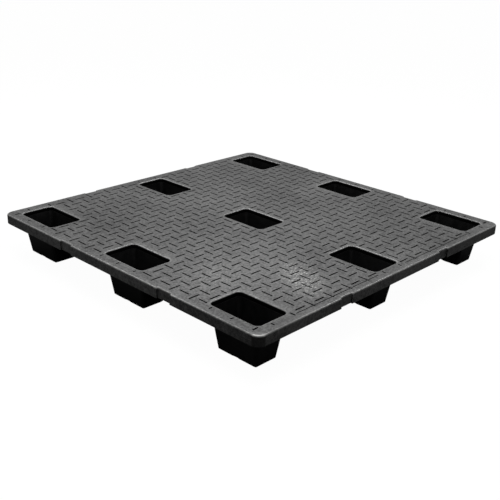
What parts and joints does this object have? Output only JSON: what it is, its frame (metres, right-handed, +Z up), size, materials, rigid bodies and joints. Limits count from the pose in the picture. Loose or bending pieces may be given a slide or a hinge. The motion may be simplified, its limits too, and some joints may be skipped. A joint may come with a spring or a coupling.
{
  "type": "plastic pallet",
  "caption": "Square black plastic pallet with a closed grooved deck, strap notches in its edge band and hollow tapered leg cups that nest into the pallet below.",
  "frame": {"origin": "on the floor, under the middle of the square deck", "axes": "+Z up, square to the deck; +X along one edge of the deck and +Y along the next, with the long sides of the leg cups along Y"},
  "size_m": [1.2192, 1.2192, 0.1397],
  "materials": {
    "deck_plastic": "black recycled polyethylene, moulded, satin with fine scuffs",
    "frame_plastic": "black recycled polyethylene, moulded, dull",
    "leg_plastic": "black recycled polyethylene, moulded, dull",
    "screw_steel": "zinc-plated steel"
  },
  "bodies": {
    "root": {"deck_panel": "deck_plastic", "underside_frame": "frame_plastic", "leg_front_left": "leg_plastic", "leg_front_middle": "leg_plastic", "leg_front_right": "leg_plastic", "leg_middle_left": "leg_plastic", "leg_centre": "leg_plastic", "leg_middle_right": "leg_plastic", "leg_rear_left": "leg_plastic", "leg_rear_middle": "leg_plastic", "leg_rear_right": "leg_plastic", "screws_front_left": "screw_steel", "screws_front_middle": "screw_steel", "screws_front_right": "screw_steel", "screws_middle_left": "screw_steel", "screws_centre": "screw_steel", "screws_middle_right": "screw_steel", "screws_rear_left": "screw_steel", "screws_rear_middle": "screw_steel", "screws_rear_right": "screw_steel"}
  },
  "joints": []
}
